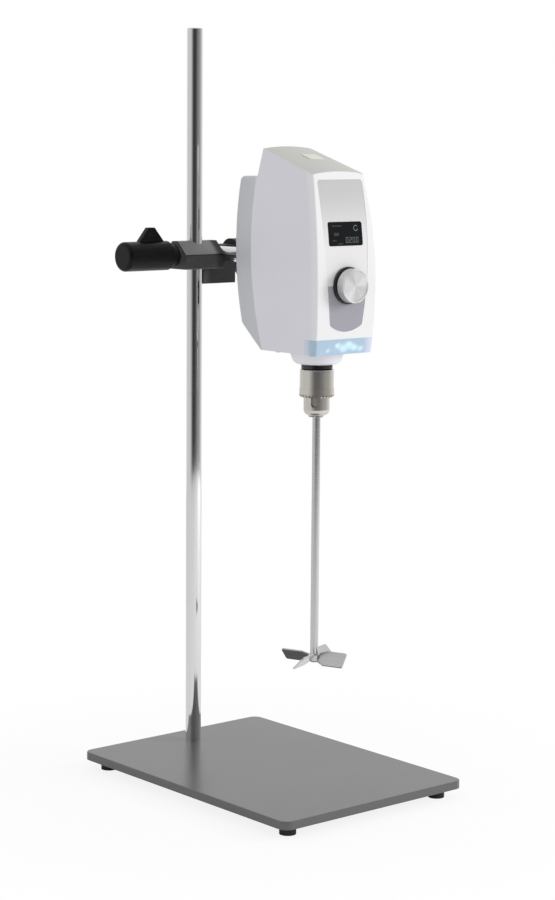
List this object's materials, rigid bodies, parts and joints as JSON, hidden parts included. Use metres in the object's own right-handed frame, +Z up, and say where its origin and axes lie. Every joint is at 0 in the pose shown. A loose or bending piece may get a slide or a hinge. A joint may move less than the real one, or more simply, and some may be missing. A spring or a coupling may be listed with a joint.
{
  "type": "overhead laboratory stirrer",
  "caption": "Overhead stirrer: motor head with display, dial and glowing bar, key chuck, shaft and propeller, held by an arm in a cross clamp on a rod and plate stand.",
  "frame": {"origin": "centre of the base plate's footprint, on the table under the rubber feet", "axes": "+Z up along the rod; the stirrer's front with display and dial faces -Y; +X is to the right seen from the front"},
  "size_m": [0.23, 0.32, 0.7495],
  "materials": {
    "plate_grey": "satin",
    "rubber_black": "matte",
    "rod_chrome": "polished",
    "arm_chrome": "polished",
    "steel": "satin",
    "shaft_steel": "polished",
    "chuck_nickel": "satin nickel plate",
    "clamp_black": "textured powder coat",
    "knob_black": "fine grain",
    "shell_white": "fine grain",
    "cover_grey": "fine grain",
    "collar_white": "satin",
    "panel_light": "satin film",
    "panel_dark": "satin film",
    "top_cream": "satin film",
    "display_black": "gloss",
    "dial_aluminium": "spun, clear anodised",
    "dial_black": "satin",
    "bar_blue": "translucent, lit from behind",
    "cast_aluminium": "as cast",
    "motor_iron": "lacquered",
    "copper": "enamelled wire",
    "board_green": "solder mask",
    "plastic_black": "satin",
    "switch_green": "gloss",
    "pin_brass": "plated"
  },
  "bodies": {
    "stand": {"base_plate": "plate_grey", "rubber_feet": "rubber_black", "foot_screws": "steel", "rod_fixing_washer": "steel"},
    "rod": {"lower_rod": "rod_chrome", "upper_rod": "rod_chrome", "rod_joint_stud": "steel", "rod_fixing_screw": "steel"},
    "clamp": {"clamp_body": "clamp_black"},
    "rod_knob": {"rod_clamp_screw": "steel", "rod_clamp_knob": "knob_black"},
    "arm_knob": {"arm_clamp_screw": "steel", "arm_clamp_knob": "knob_black"},
    "arm": {"support_arm": "arm_chrome", "arm_nut": "steel"},
    "head": {"chassis": "cast_aluminium", "main_shell": "shell_white", "rear_cover": "cover_grey", "case_screws": "steel", "cover_screws": "steel", "front_panel": "panel_light", "lower_panel": "panel_dark", "display_window": "display_black", "display_module": "plastic_black", "control_board": "board_green", "encoder": "plastic_black", "dial_ring": "dial_black", "light_bar": "bar_blue", "led_board": "board_green", "top_plate": "top_cream", "motor_housing": "cast_aluminium", "motor_cap": "cast_aluminium", "lower_bearing": "steel", "upper_bearing": "steel", "motor_stator": "motor_iron", "motor_coils": "copper", "motor_screws": "steel", "drive_board": "board_green", "collar": "collar_white", "shaft_seal": "rubber_black", "power_inlet": "plastic_black", "inlet_pins": "pin_brass", "power_switch": "plastic_black", "power_board": "board_green"},
    "dial_press": {"encoder_shaft": "steel"},
    "dial": {"control_dial": "dial_aluminium"},
    "rocker": {"switch_rocker": "switch_green"},
    "spindle": {"spindle": "steel", "motor_rotor": "motor_iron", "chuck_body": "chuck_nickel"},
    "chuck_ring": {"chuck_sleeve": "chuck_nickel", "chuck_nut": "steel"},
    "jaw_1": {"chuck_jaw_1": "steel"},
    "jaw_2": {"chuck_jaw_2": "steel"},
    "jaw_3": {"chuck_jaw_3": "steel"},
    "shaft": {"stirring_shaft": "shaft_steel", "propeller": "shaft_steel", "propeller_screw": "steel"}
  },
  "joints": [
    {"name": "rod_swivel", "type": "hinge", "parent": "stand", "child": "rod", "pos_m": [0, 0.124, 0], "axis": [0, 0, 1], "range_deg": [-90, 90]},
    {"name": "clamp_height", "type": "slide", "parent": "rod", "child": "clamp", "axis": [0, 0, 1], "range_m": [-0.07, 0.2]},
    {"name": "rod_knob_turn", "type": "hinge", "parent": "clamp", "child": "rod_knob", "pos_m": [0, 0.124, 0.5235], "axis": [-1, 0, 0], "range_deg": [0, 1080]},
    {"name": "arm_knob_turn", "type": "hinge", "parent": "clamp", "child": "arm_knob", "pos_m": [0, 0.1315, 0.5235], "axis": [1, 0, 0], "range_deg": [0, 1080]},
    {"name": "arm_reach", "type": "slide", "parent": "clamp", "child": "arm", "axis": [0, 1, 0], "range_m": [-0.016, 0.034]},
    {"name": "head_tilt", "type": "hinge", "parent": "arm", "child": "head", "pos_m": [0.03, 0.033, 0.5235], "axis": [0, 1, 0], "range_deg": [-45, 45]},
    {"name": "dial_push", "type": "slide", "parent": "head", "child": "dial_press", "axis": [0, 1, 0], "range_m": [0, 0.0006], "stiffness_N_per_m": 2500, "springref_m": -0.0004},
    {"name": "dial_turn", "type": "hinge", "parent": "dial_press", "child": "dial", "pos_m": [0.03, -0.08, 0.502], "axis": [0, 1, 0], "continuous": true},
    {"name": "rocker_throw", "type": "hinge", "parent": "head", "child": "rocker", "pos_m": [0.03, 0.06182, 0.557], "axis": [1, 0, 0], "range_deg": [-16, 0]},
    {"name": "spindle_turn", "type": "hinge", "parent": "head", "child": "spindle", "pos_m": [0.03, -0.032, 0.44], "axis": [0, 0, 1], "continuous": true},
    {"name": "chuck_ring_turn", "type": "hinge", "parent": "spindle", "child": "chuck_ring", "pos_m": [0.03, -0.032, 0.404], "axis": [0, 0, -1], "range_deg": [0, 1150]},
    {"name": "jaw_1_travel", "type": "slide", "parent": "spindle", "child": "jaw_1", "axis": [-0.1928, 0.0779, 0.9781], "range_m": [0, 0.00481]},
    {"name": "jaw_2_travel", "type": "slide", "parent": "spindle", "child": "jaw_2", "axis": [0.0289, -0.2059, 0.9781], "range_m": [0, 0.00481]},
    {"name": "jaw_3_travel", "type": "slide", "parent": "spindle", "child": "jaw_3", "axis": [0.1638, 0.128, 0.9781], "range_m": [0, 0.00481]},
    {"name": "shaft_height", "type": "slide", "parent": "spindle", "child": "shaft", "axis": [0, 0, 1], "range_m": [-0.02, 0.002]}
  ],
  "couplings": [
    {"joint": "jaw_1_travel", "follows": "chuck_ring_turn", "m_per_rad": 0.00023873},
    {"joint": "jaw_2_travel", "follows": "chuck_ring_turn", "m_per_rad": 0.00023873},
    {"joint": "jaw_3_travel", "follows": "chuck_ring_turn", "m_per_rad": 0.00023873}
  ]
}
